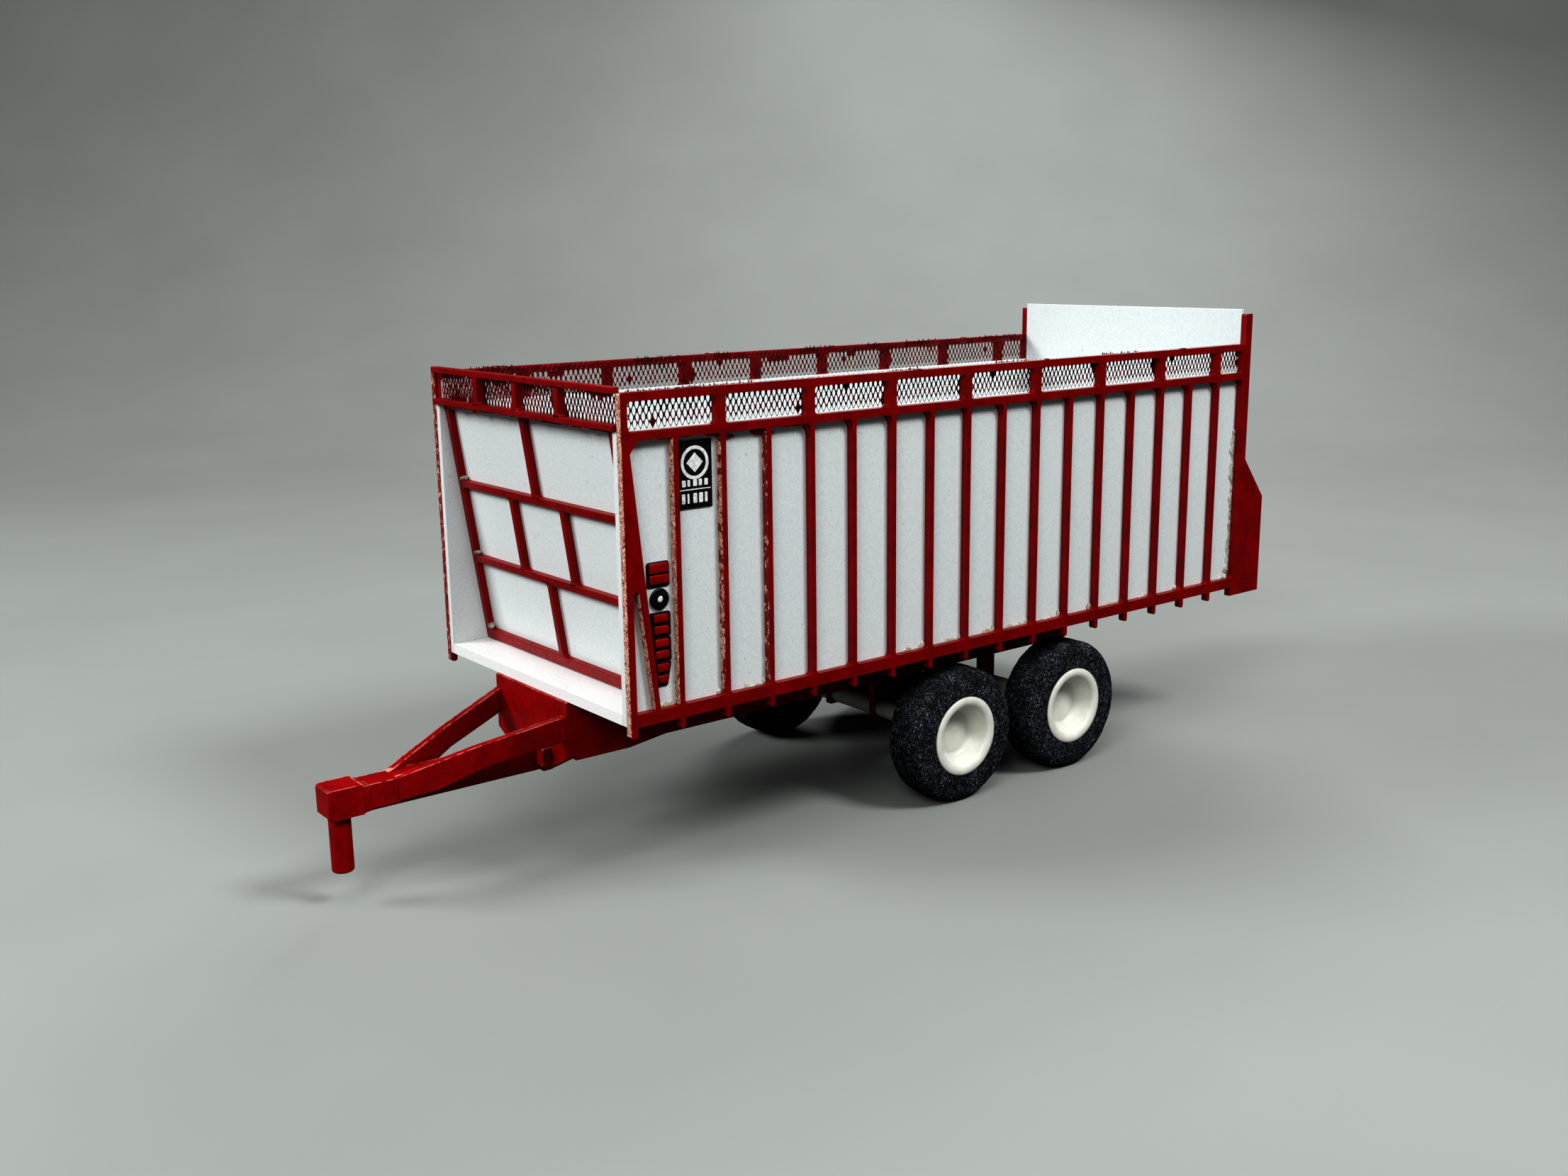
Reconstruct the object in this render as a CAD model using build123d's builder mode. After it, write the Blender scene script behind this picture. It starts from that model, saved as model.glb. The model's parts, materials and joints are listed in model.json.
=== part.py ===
from build123d import *
import os

os.makedirs("parts", exist_ok=True)

# Tandem-axle forage and grain box trailer, a hand-built 1:64 scale model.
# Millimetres. +X is the right-hand side, +Y points rearwards, +Z is up.
# The origin is on the ground, on the centreline, midway between the hitch and the rear brackets.

# ---- driving dimensions ----
box_length = 105.0
box_width = 42.5
side_height = 36.2          # rib feet to the top of the side frames
foot_height = 18.85         # rib feet above the ground
hitch_reach = 25.6          # front of the hitch block ahead of the box
bracket_reach = 4.6         # rear brackets behind the box
frame_sheet = 0.9           # laser-cut frame board
white_sheet = 0.8           # styrene sheet of the liners, floor and end walls
mesh_sheet = 0.3            # expanded mesh
trim_sheet = 0.15           # thin plates on the outside of the liners
snug = 0.05                 # clearance between a sheet and the pieces beside it

# side frame
front_post_width = 0.8
rear_post_width = 1.75
rear_head_width = 1.3       # rear post above the top rail
rib_count = 16
first_rib = 6.555           # centre of the first rib behind the box front
rib_pitch = 6.085
rib_width = 0.65
mesh_post_width = 1.2
mesh_post_ahead = 0.225     # centres of the mesh posts ahead of the ribs' centres
bottom_rail_low = 1.2
bottom_rail_high = 2.6
mid_rail_low = 31.3
mid_rail_high = 32.2
top_rail_low = 35.3
window_radius = 0.45
foot_radius = 0.3
rear_post_top = 40.4
rear_panel_top = 41.0
rear_panel_sheet = 0.5
rear_panel_inset = 0.8      # rear face of the rear panel ahead of the posts' rear edge

# floor, liners and front wall
floor_thickness = 1.25
shelf_length = 6.55         # front shelf, up to the back of the raked wall's foot
liner_top = 32.3
rake = 0.1386               # how far the front wall runs back for each mm down
wall_top_back = 0.57        # front wall's face behind the box front, at the liner top
bar_width = 0.95
lattice_sheet = 0.8
band_sheet = 1.0
band_low = 32.4
band_top = 36.8
band_rail_high = 33.0
band_beam_low = 36.1
band_post_spacing = 9.2

# diamond mesh
diamond_pitch = 0.735
diamond_row = 0.68
diamond_width = 0.46
diamond_height = 0.9

# chassis
rail_outer = 8.15           # half of the width over the chassis rails
rail_thickness = 1.5
rail_low = -5.85            # below the rib feet, at the front
rail_low_rear = -5.2
rail_end = 82.5
bulkhead_front = -0.27
bulkhead_sheet = 1.0
bulkhead_half_foot = 2.3
bulkhead_side_low = -5.4
beam_half = 1.7
beam_low = -8.4
beam_high = -5.4
arm_width = 1.0

# hitch
hitch_block_length = 3.9
hitch_block_half = 1.92
hitch_block_low = -8.46
hitch_block_high = -5.13
pin_radius = 1.2
spigot_radius = 1.0         # reduced top of the pin, inside the block
pin_back = 1.75            # pin axis behind the front of the block
pin_low = -14.9
pin_socket = 2.4            # depth of the spigot in the hitch block

# wheels and axles
tyre_radius = 8.7
rim_radius = 5.1
wheel_outer = 20.9
wheel_width = 5.5
front_axle_back = 49.6      # behind the box front
axle_spacing = 20.25
rim_back = 4.3              # inner end of the rim behind the wheel's outer face
hub_radius = 1.7
axle_radius = 1.1
axle_shoulder = 13.6
stub_radius = 0.75
stub_end = 17.2
running_clearance = 0.05
groove_depth = 0.15
groove_from = 16.0
groove_to = 16.6
hanger_x = 4.5
hanger_sheet = 1.0
hanger_length = 2.6
hanger_low = -11.4

# ---- derived places ----
front_y = (hitch_reach - box_length - bracket_reach) / 2
frame_inner = box_width / 2 - frame_sheet
liner_inner = frame_inner - white_sheet
floor_high = bottom_rail_low + floor_thickness
liner_length = box_length - rear_panel_inset - rear_panel_sheet
rib_centres = [first_rib + rib_pitch * i for i in range(rib_count)]
axle_backs = [front_axle_back, front_axle_back + axle_spacing]
axle_height = tyre_radius - foot_height
both_sides = [("right", 1), ("left", -1)]


def side_plane(x):
    """Upright plane along the box: sketch x runs back from the box front, y up from the rib feet."""
    return Plane(origin=(x, front_y, foot_height), x_dir=(0, 1, 0), z_dir=(1, 0, 0))


def cross_plane(back):
    """Upright plane across the box: sketch x is +X, y up from the rib feet, its normal faces forward."""
    return Plane(origin=(0, front_y + back, foot_height), x_dir=(1, 0, 0), z_dir=(0, -1, 0))


def level_plane(height):
    """Level plane: sketch x is +X, y runs back from the box front."""
    return Plane(origin=(0, front_y, foot_height + height), x_dir=(1, 0, 0), z_dir=(0, 0, 1))


def wall_plane(depth):
    """Raked front-wall plane, depth behind the face of the lattice. Sketch y = 0 is the liner top."""
    face = Plane(
        origin=(0, front_y + wall_top_back, foot_height + liner_top),
        x_dir=(1, 0, 0),
        z_dir=(0, -1, -rake),
    )
    return face.offset(-depth)


def sheet_from(side, inner, thickness):
    """Lower X of a sheet that starts at distance inner from the centreline, on one side."""
    return inner if side > 0 else -inner - thickness


def finish(part, name):
    """Name a finished piece and write it."""
    part.label = name
    export_step(part, "parts/" + name + ".step")


def span_window(start, end, low, high):
    """Cut a window with rounded corners between four edges."""
    with Locations(((start + end) / 2, (low + high) / 2)):
        RectangleRounded(end - start, high - low, window_radius, mode=Mode.SUBTRACT)


def outline(points, mode=Mode.ADD):
    """Add or cut a closed straight-sided outline."""
    Polygon(*points, align=None, mode=mode)


# ---- box ----
def make_side_frame(name, side):
    """Ribbed side frame with the mesh windows, the raked front brace and the rear bracket in one sheet."""
    last_edge = box_length - rear_post_width
    post = rib_width / 2
    mesh_post = mesh_post_width / 2
    brace_knee = (0.95, 30.0)
    brace_foot = (3.75, bottom_rail_high)
    knee_height = 19.8
    bracket_shoulder = 14.0
    bracket_front = box_length - 2.1
    foot_length = 3.0

    with BuildPart() as frame:
        with BuildSketch(side_plane(sheet_from(side, frame_inner, frame_sheet))):
            with Locations((0, bottom_rail_low)):
                Rectangle(box_length, side_height - bottom_rail_low, align=(Align.MIN, Align.MIN))
            with Locations([(back, foot_length / 2) for back in rib_centres]):
                RectangleRounded(rib_width, foot_length, foot_radius)
            with Locations((front_post_width / 2, foot_length / 2)):
                RectangleRounded(front_post_width, foot_length, foot_radius)
            with Locations((box_length - rear_head_width / 2, rear_post_top - side_height / 2)):
                RectangleRounded(rear_head_width, side_height, foot_radius)
            outline(
                [
                    (bracket_front, 0),
                    (box_length + bracket_reach, 0),
                    (box_length + bracket_reach, bracket_shoulder),
                    (box_length, knee_height),
                    (last_edge, knee_height),
                    (bracket_front, bracket_shoulder),
                ]
            )

            # bays between the ribs
            for ahead, behind in zip(rib_centres, rib_centres[1:]):
                span_window(ahead + post, behind - post, bottom_rail_high, mid_rail_low)
            span_window(rib_centres[-1] + post, last_edge, bottom_rail_high, mid_rail_low)

            # first bay, its front edge on the raked brace
            outline(
                [
                    brace_foot,
                    brace_knee,
                    (1.95, mid_rail_low),
                    (first_rib - post, mid_rail_low),
                    (first_rib - post, bottom_rail_high),
                ],
                mode=Mode.SUBTRACT,
            )

            # tapered slot between the front post and the brace
            outline(
                [
                    (front_post_width, bottom_rail_high),
                    (front_post_width, 15.4),
                    (1.15, 15.8),
                    (1.55, 15.4),
                    (3.15, bottom_rail_high),
                ],
                mode=Mode.SUBTRACT,
            )

            # mesh windows over every second rib, with a short one at the rear
            mesh_posts = [back - mesh_post_ahead for back in rib_centres[1::2]]
            window_starts = [front_post_width] + [back + mesh_post for back in mesh_posts]
            window_ends = [back - mesh_post for back in mesh_posts] + [last_edge]
            for start, end in zip(window_starts, window_ends):
                span_window(start, end, mid_rail_high, top_rail_low)
        extrude(amount=frame_sheet)
    finish(frame.part, name)


def make_side_liner(name, side):
    """White sheet behind the ribs, from the floor to just above the middle rail."""
    with BuildPart() as liner:
        with BuildSketch(side_plane(sheet_from(side, liner_inner, white_sheet))):
            with Locations((0, bottom_rail_low)):
                Rectangle(
                    liner_length - snug,
                    liner_top - bottom_rail_low,
                    align=(Align.MIN, Align.MIN),
                )
        extrude(amount=white_sheet)
    finish(liner.part, name)


def cut_diamonds(width, height):
    """Cut the staggered rows of diamonds of an expanded mesh, centred on the sketch."""
    columns = int(width / diamond_pitch) - 1
    rows = int(height / (2 * diamond_row))
    half_wide = diamond_width / 2
    half_high = diamond_height / 2
    diamond = [(half_wide, 0), (0, half_high), (-half_wide, 0), (0, -half_high)]
    with Locations((0, diamond_row / 2)):
        with GridLocations(diamond_pitch, 2 * diamond_row, columns, rows):
            Polygon(*diamond, align=None, mode=Mode.SUBTRACT)
    with Locations((0, -diamond_row / 2)):
        with GridLocations(diamond_pitch, 2 * diamond_row, columns - 1, rows):
            Polygon(*diamond, align=None, mode=Mode.SUBTRACT)


def make_side_mesh(name, side):
    """Expanded mesh glued inside the upper windows of a side frame."""
    front_gap = 1.0
    low = liner_top + snug
    length = liner_length - front_gap - snug
    height = side_height - low - 0.2
    middle = front_gap + length / 2
    inner = frame_inner - mesh_sheet
    plane = side_plane(sheet_from(side, inner, mesh_sheet))
    plane.origin = plane.from_local_coords((middle, low + height / 2, 0))
    with BuildPart() as mesh:
        with BuildSketch(plane):
            Rectangle(length, height)
            cut_diamonds(length, height)
        extrude(amount=mesh_sheet)
    finish(mesh.part, name)


def make_floor(name, start, end):
    """Floor sheet between the liners, from one distance behind the box front to another."""
    with BuildPart() as floor:
        with BuildSketch(level_plane(bottom_rail_low)):
            with Locations((0, start)):
                Rectangle(
                    2 * (liner_inner - snug),
                    end - start,
                    align=(Align.CENTER, Align.MIN),
                )
        extrude(amount=floor_thickness)
    finish(floor.part, name)


def make_rear_panel():
    """Rear wall sheet between the rear posts, taller than the sides."""
    with BuildPart() as panel:
        with BuildSketch(cross_plane(box_length - rear_panel_inset)):
            with Locations((0, bottom_rail_low)):
                Rectangle(
                    2 * (frame_inner - snug),
                    rear_panel_top - bottom_rail_low,
                    align=(Align.CENTER, Align.MIN),
                )
        extrude(amount=rear_panel_sheet)
    finish(panel.part, "rear_panel")


def wall_v(height):
    """Sketch y on the raked wall plane for a height above the rib feet."""
    return (height - liner_top) * (1 + rake**2) ** 0.5


def make_front_panel():
    """Raked white front wall sheet behind the lattice."""
    low = wall_v(floor_high + snug)
    with BuildPart() as panel:
        with BuildSketch(wall_plane(lattice_sheet)):
            Rectangle(2 * (liner_inner - snug), -low, align=(Align.CENTER, Align.MAX))
        extrude(amount=-white_sheet)
    finish(panel.part, "front_panel")


def make_front_lattice():
    """Raked lattice of red bars: two, three and two panes in its three rows."""
    half = liner_inner - snug
    shift = -0.75           # the hand-cut bars stand a little left of the centreline
    right_post = 1.8        # the right-hand post is cut wider than the other bars
    low = wall_v(floor_high + 0.15)
    rows = [
        (wall_v(3.85), wall_v(12.6), [shift]),
        (wall_v(13.5), wall_v(22.05), [shift - 5.8, shift + 5.8]),
        (wall_v(22.95), wall_v(31.95), [shift]),
    ]
    with BuildPart() as lattice:
        with BuildSketch(wall_plane(0)):
            Rectangle(2 * half, -low, align=(Align.CENTER, Align.MAX))
            for row_low, row_high, bars in rows:
                starts = [bar_width - half] + [bar + bar_width / 2 for bar in bars]
                ends = [bar - bar_width / 2 for bar in bars] + [half - right_post]
                for start, end in zip(starts, ends):
                    span_window(start, end, row_low, row_high)
        extrude(amount=-lattice_sheet)
    finish(lattice.part, "front_lattice")


def make_front_band():
    """Upright frame over the raked wall: two rails and three posts, with its end windows open to the sides."""
    rail_half = liner_inner - snug
    beam_half_width = frame_inner - snug
    step = liner_top + snug
    post = bar_width / 2
    band_back = band_sheet / 2
    posts = [-band_post_spacing, 0, band_post_spacing]
    open_end = beam_half_width + bar_width
    with BuildPart() as band:
        with BuildSketch(cross_plane(band_back)):
            with Locations((0, band_low)):
                Rectangle(2 * rail_half, band_top - band_low, align=(Align.CENTER, Align.MIN))
            with Locations((0, step)):
                Rectangle(2 * beam_half_width, band_top - step, align=(Align.CENTER, Align.MIN))
            starts = [-open_end] + [x + post for x in posts]
            ends = [x - post for x in posts] + [open_end]
            for start, end in zip(starts, ends):
                span_window(start, end, band_rail_high, band_beam_low)
        extrude(amount=band_sheet)
    finish(band.part, "front_band_frame")


def make_front_mesh():
    """Expanded mesh glued behind the front band."""
    low = liner_top + snug
    height = band_top - low - 0.4
    width = 2 * (frame_inner - mesh_sheet)
    plane = cross_plane(band_sheet / 2 + mesh_sheet)
    plane.origin = plane.from_local_coords((0, low + height / 2, 0))
    with BuildPart() as mesh:
        with BuildSketch(plane):
            Rectangle(width, height)
            cut_diamonds(width, height)
        extrude(amount=mesh_sheet)
    finish(mesh.part, "front_mesh")


# ---- trim on the liners ----
def make_trim(name, side):
    """Plain dark plate in the second bay, one for each side."""
    start = first_rib + rib_width / 2 + 0.3
    plate_length = 4.4
    plate_low = 23.5
    plate_height = 7.2
    with BuildPart() as plate:
        with BuildSketch(side_plane(sheet_from(side, frame_inner, trim_sheet))):
            with Locations((start, plate_low)):
                Rectangle(plate_length, plate_height, align=(Align.MIN, Align.MIN))
        extrude(amount=trim_sheet)
    finish(plate.part, name)


def make_badge_blocks(name, side):
    """Stack of plain lozenge blocks beside the brace, in the first bay."""
    lowest_width = 2.15
    growth = 0.09           # each block is this much wider than the one below it
    block_height = 2.4
    block_pitch = 2.7
    block_count = 5
    lowest = 6.3
    rear_edge = first_rib - rib_width / 2 - 0.55
    with BuildPart() as blocks:
        with BuildSketch(side_plane(sheet_from(side, frame_inner, 2 * trim_sheet))):
            for i in range(block_count):
                width = lowest_width + growth * i
                with Locations((rear_edge - width / 2, lowest + i * block_pitch)):
                    RectangleRounded(width, block_height, foot_radius)
        extrude(amount=2 * trim_sheet)
    finish(blocks.part, name)


# ---- chassis ----
def make_bulkhead():
    """Upright cross plate under the box front, tapering down to the drawbar beam."""
    with BuildPart() as bulkhead:
        with BuildSketch(cross_plane(bulkhead_front + bulkhead_sheet)):
            outline(
                [
                    (-rail_outer, bottom_rail_low),
                    (-rail_outer, bulkhead_side_low),
                    (-bulkhead_half_foot, beam_low),
                    (bulkhead_half_foot, beam_low),
                    (rail_outer, bulkhead_side_low),
                    (rail_outer, bottom_rail_low),
                ]
            )
        extrude(amount=bulkhead_sheet)
    finish(bulkhead.part, "bulkhead")


def make_chassis_rail(name, side):
    """Long rail under the floor, a little deeper at its front end."""
    start = bulkhead_front + bulkhead_sheet
    deep_end = 8.0
    taper_end = 13.0
    inner = rail_outer - rail_thickness
    with BuildPart() as rail:
        with BuildSketch(side_plane(sheet_from(side, inner, rail_thickness))):
            outline(
                [
                    (start, bottom_rail_low),
                    (rail_end, bottom_rail_low),
                    (rail_end, rail_low_rear),
                    (taper_end, rail_low_rear),
                    (deep_end, rail_low),
                    (start, rail_low),
                ]
            )
        extrude(amount=rail_thickness)
    finish(rail.part, name)


def make_cross_member(name, back, length, depth):
    """Bar between the chassis rails, its underside level with theirs."""
    with BuildPart() as member:
        with BuildSketch(level_plane(rail_low_rear)):
            with Locations((0, back)):
                Rectangle(2 * (rail_outer - rail_thickness), length)
        extrude(amount=depth)
    finish(member.part, name)


def make_axle_hanger(name, side, back):
    """Plate under a cross member that holds one side of an axle."""
    inner = hanger_x - hanger_sheet / 2
    with BuildPart() as hanger:
        with BuildSketch(side_plane(sheet_from(side, inner, hanger_sheet))):
            with Locations((back, hanger_low)):
                Rectangle(
                    hanger_length,
                    rail_low_rear - hanger_low,
                    align=(Align.CENTER, Align.MIN),
                )
            with Locations((back, axle_height)):
                Circle(axle_radius, mode=Mode.SUBTRACT)
        extrude(amount=hanger_sheet)
    finish(hanger.part, name)


# ---- drawbar ----
def make_drawbar_beam():
    """Level centre beam from the hitch block back to the bulkhead."""
    start = hitch_block_length - hitch_reach
    with BuildPart() as beam:
        with BuildSketch(level_plane(beam_low)):
            with Locations((0, start)):
                Rectangle(2 * beam_half, bulkhead_front - start, align=(Align.CENTER, Align.MIN))
        extrude(amount=beam_high - beam_low)
        chamfer(beam.edges().filter_by(Axis.Y).group_by(Axis.Z)[0], 0.3)
    finish(beam.part, "drawbar_beam")


def make_tongue_arm(name, side):
    """Raked arm from the neck of the drawbar up and out to the top corner of the bulkhead."""
    neck_back = -17.8
    side_outline = [
        (neck_back, -8.1),
        (neck_back, beam_high),
        (-9.9, -2.95),
        (bulkhead_front, -0.5),
        (bulkhead_front, -3.3),
        (-8.5, -5.25),
        (-13.6, -7.3),
    ]
    width_across = arm_width * 1.06
    with BuildPart() as arm:
        with BuildSketch(level_plane(beam_low)):
            outline(
                [
                    (side * beam_half, neck_back),
                    (side * rail_outer, bulkhead_front),
                    (side * (rail_outer - width_across), bulkhead_front),
                    (side * (beam_half - width_across), neck_back),
                ]
            )
        extrude(amount=-beam_low)
        with BuildSketch(side_plane(0)):
            outline(side_outline)
        extrude(amount=rail_outer, both=True, mode=Mode.INTERSECT)
        with BuildSketch(level_plane(beam_low)):
            with Locations((0, bulkhead_front - hitch_reach / 2)):
                Rectangle(2 * beam_half, hitch_reach)
        extrude(amount=beam_high - beam_low, mode=Mode.SUBTRACT)
    finish(arm.part, name)


def make_jack_lug():
    """Small block on the bulkhead beside the drawbar beam."""
    lug_inner = 2.9
    lug_width = 1.5
    lug_length = 1.1
    lug_low = -7.2
    lug_high = -5.0
    with BuildPart() as lug:
        with BuildSketch(level_plane(lug_low)):
            with Locations((lug_inner, bulkhead_front)):
                Rectangle(lug_width, lug_length, align=(Align.MIN, Align.MAX))
        extrude(amount=lug_high - lug_low)
    finish(lug.part, "jack_lug")


def make_hitch_block():
    """Rounded block at the front of the drawbar, bored for the hitch pin."""
    with BuildPart() as block:
        with BuildSketch(level_plane(hitch_block_low)):
            with Locations((0, -hitch_reach)):
                Rectangle(
                    2 * hitch_block_half,
                    hitch_block_length,
                    align=(Align.CENTER, Align.MIN),
                )
        extrude(amount=hitch_block_high - hitch_block_low)
        fillet(block.edges().group_by(Axis.Y)[0], 0.4)
        with BuildSketch(level_plane(hitch_block_low)):
            with Locations((0, pin_back - hitch_reach)):
                Circle(spigot_radius)
        extrude(amount=pin_socket, mode=Mode.SUBTRACT)
    finish(block.part, "hitch_block")


def make_hitch_pin():
    """Round pin standing down from the hitch block, with a reduced spigot in the block's bore."""
    with BuildPart() as pin:
        with BuildSketch(level_plane(pin_low)):
            with Locations((0, pin_back - hitch_reach)):
                Circle(pin_radius)
        extrude(amount=hitch_block_low - pin_low)
        fillet(pin.edges().group_by(Axis.Z)[0], 0.25)
        with BuildSketch(level_plane(hitch_block_low)):
            with Locations((0, pin_back - hitch_reach)):
                Circle(spigot_radius)
        extrude(amount=pin_socket)
    finish(pin.part, "hitch_pin")


# ---- running gear ----
def half_section(back):
    """Upright plane through an axle's centreline: sketch x is +X, y is the radius."""
    return Plane(
        origin=(0, front_y + back, tyre_radius),
        x_dir=(1, 0, 0),
        z_dir=(0, -1, 0),
    )


def spin(back):
    """Revolve the open half section about the axle at this distance behind the box front."""
    revolve(axis=Axis((0, front_y + back, tyre_radius), (1, 0, 0)))


def make_axle(name, back):
    """Straight axle with a reduced, grooved stub at each end for the wheels to push over."""
    groove_radius = stub_radius - groove_depth
    half = [
        (axle_shoulder, 0),
        (axle_shoulder, axle_radius),
        (axle_shoulder, stub_radius),
        (groove_from, stub_radius),
        (groove_from, groove_radius),
        (groove_to, groove_radius),
        (groove_to, stub_radius),
        (stub_end, stub_radius),
        (stub_end, 0),
    ]
    right = half[1:]
    left = [(-x, radius) for x, radius in reversed(right)]
    with BuildPart() as axle:
        with BuildSketch(half_section(back)):
            outline(left + right)
        spin(back)
    finish(axle.part, name)


def make_rim(name, side, back):
    """Deep-dished rim whose hub pushes over the axle stub with running clearance."""
    inner_face = wheel_outer - rim_back
    hub_face = axle_shoulder + 2 * running_clearance
    bore = stub_radius + running_clearance
    lip = stub_radius - groove_depth + running_clearance
    lip_from = groove_from + 2 * running_clearance
    lip_to = groove_to - 2 * running_clearance
    bore_end = stub_end + 4 * running_clearance
    dish_floor = wheel_outer - 2.4
    dish_mouth = 3.85
    dish_floor_radius = 2.7
    web_back = dish_floor - 1.0
    barrel = 4.4
    proud = 0.15

    with BuildPart() as rim:
        with BuildSketch(half_section(back)):
            with BuildLine():
                Polyline(
                    (side * dish_floor, 0),
                    (side * bore_end, 0),
                    (side * bore_end, bore),
                    (side * lip_to, bore),
                    (side * lip_to, lip),
                    (side * lip_from, lip),
                    (side * lip_from, bore),
                    (side * hub_face, bore),
                    (side * hub_face, hub_radius),
                    (side * web_back, hub_radius),
                    (side * web_back, barrel),
                    (side * inner_face, barrel),
                    (side * inner_face, rim_radius),
                    (side * wheel_outer, rim_radius),
                )
                ThreePointArc(
                    (side * wheel_outer, rim_radius),
                    (side * (wheel_outer + proud), (rim_radius + dish_mouth) / 2),
                    (side * (wheel_outer - proud), dish_mouth),
                )
                Spline(
                    (side * (wheel_outer - proud), dish_mouth),
                    (side * (wheel_outer - 1.5), 3.45),
                    (side * dish_floor, dish_floor_radius),
                    tangents=[(-side, -0.1), (-side * 0.3, -1)],
                )
                Line((side * dish_floor, dish_floor_radius), (side * dish_floor, 0))
            make_face()
        spin(back)
    finish(rim.part, name)


def make_tyre(name, side, back):
    """Smooth tyre with a nearly flat tread, tight shoulders and a web that closes the wheel's inner side."""
    inner_face = wheel_outer - wheel_width
    middle = (wheel_outer + inner_face) / 2
    bead = wheel_width / 2 - 0.3
    bulge = wheel_width / 2
    shoulder = wheel_width / 2 - 0.15
    shoulder_crest = wheel_width / 2 - 0.3
    tread_edge = wheel_width / 2 - 0.75
    bulge_radius = 6.7
    shoulder_radius = tyre_radius - 0.6
    crest_radius = tyre_radius - 0.2
    tread_radius = tyre_radius - 0.05
    middle *= side

    with BuildPart() as tyre:
        with BuildSketch(half_section(back)):
            with BuildLine():
                for hand in (-1, 1):
                    ThreePointArc(
                        (middle + hand * bead, rim_radius),
                        (middle + hand * bulge, bulge_radius),
                        (middle + hand * shoulder, shoulder_radius),
                    )
                    ThreePointArc(
                        (middle + hand * shoulder, shoulder_radius),
                        (middle + hand * shoulder_crest, crest_radius),
                        (middle + hand * tread_edge, tread_radius),
                    )
                ThreePointArc(
                    (middle - tread_edge, tread_radius),
                    (middle, tyre_radius),
                    (middle + tread_edge, tread_radius),
                )
                Polyline(
                    (middle + side * bead, rim_radius),
                    (side * (wheel_outer - rim_back), rim_radius),
                    (side * (wheel_outer - rim_back), hub_radius),
                    (middle - side * bead, hub_radius),
                    (middle - side * bead, rim_radius),
                )
            make_face()
        spin(back)
    finish(tyre.part, name)


for side_name, side in both_sides:
    make_side_frame("side_frame_" + side_name, side)
    make_side_liner("side_liner_" + side_name, side)
    make_side_mesh("side_mesh_" + side_name, side)
    make_trim("trim_plate_" + side_name, side)
    make_badge_blocks("badge_blocks_" + side_name, side)
    make_chassis_rail("chassis_rail_" + side_name, side)
    make_tongue_arm("tongue_arm_" + side_name, side)
make_floor("front_shelf", 0, shelf_length)
make_floor("floor_panel", shelf_length + snug, liner_length - snug)
make_rear_panel()
make_front_panel()
make_front_lattice()
make_front_band()
make_front_mesh()
make_bulkhead()
make_cross_member("cross_member_front", 25.0, 2.0, 3.0)
make_cross_member("cross_member_rear", rail_end - 2.0, 2.0, 3.0)
make_drawbar_beam()
make_jack_lug()
make_hitch_block()
make_hitch_pin()
for place, back in zip(("front", "rear"), axle_backs):
    make_cross_member("axle_bolster_" + place, back, 3.4, 2.2)
    make_axle("axle_" + place, back)
    for side_name, side in both_sides:
        make_axle_hanger("axle_hanger_" + place + "_" + side_name, side, back)
        make_rim("rim_" + place + "_" + side_name, side, back)
        make_tyre("tyre_" + place + "_" + side_name, side, back)
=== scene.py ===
import json
import math
import random

import bmesh
import bpy
from mathutils import Matrix, Vector, noise
from mathutils.bvhtree import BVHTree


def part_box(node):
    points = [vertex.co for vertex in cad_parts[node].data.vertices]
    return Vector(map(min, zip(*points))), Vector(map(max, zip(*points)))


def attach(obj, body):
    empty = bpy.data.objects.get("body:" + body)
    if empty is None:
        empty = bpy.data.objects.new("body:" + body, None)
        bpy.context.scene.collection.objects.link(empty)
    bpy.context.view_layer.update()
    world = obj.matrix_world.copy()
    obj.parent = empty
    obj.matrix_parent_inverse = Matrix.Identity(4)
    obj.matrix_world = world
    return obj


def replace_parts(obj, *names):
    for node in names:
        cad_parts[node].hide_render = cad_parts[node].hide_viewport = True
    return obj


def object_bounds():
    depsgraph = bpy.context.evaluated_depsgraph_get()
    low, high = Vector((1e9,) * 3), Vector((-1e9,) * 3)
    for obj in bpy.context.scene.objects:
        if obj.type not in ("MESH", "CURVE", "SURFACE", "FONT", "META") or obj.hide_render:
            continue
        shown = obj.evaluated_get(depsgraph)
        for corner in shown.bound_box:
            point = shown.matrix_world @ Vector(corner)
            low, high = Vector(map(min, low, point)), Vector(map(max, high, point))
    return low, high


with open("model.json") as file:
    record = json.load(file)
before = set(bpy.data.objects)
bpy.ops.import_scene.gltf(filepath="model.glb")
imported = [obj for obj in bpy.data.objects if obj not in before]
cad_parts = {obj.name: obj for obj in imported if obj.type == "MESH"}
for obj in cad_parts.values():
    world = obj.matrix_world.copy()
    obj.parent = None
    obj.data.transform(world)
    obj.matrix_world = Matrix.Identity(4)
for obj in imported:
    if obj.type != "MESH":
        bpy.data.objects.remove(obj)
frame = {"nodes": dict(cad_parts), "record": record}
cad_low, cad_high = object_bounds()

MM = 0.001
SIDES = {"right": 1, "left": -1}  # each side and the sign of its x
nodes = frame["nodes"]


# ---- shader building ----
def linear(red, green, blue):
    """Linear colour with alpha from ordinary 0-255 screen values."""
    shares = [value / 255 for value in (red, green, blue)]
    return tuple(s / 12.92 if s < 0.04 else ((s + 0.055) / 1.055) ** 2.4 for s in shares) + (1.0,)


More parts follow.
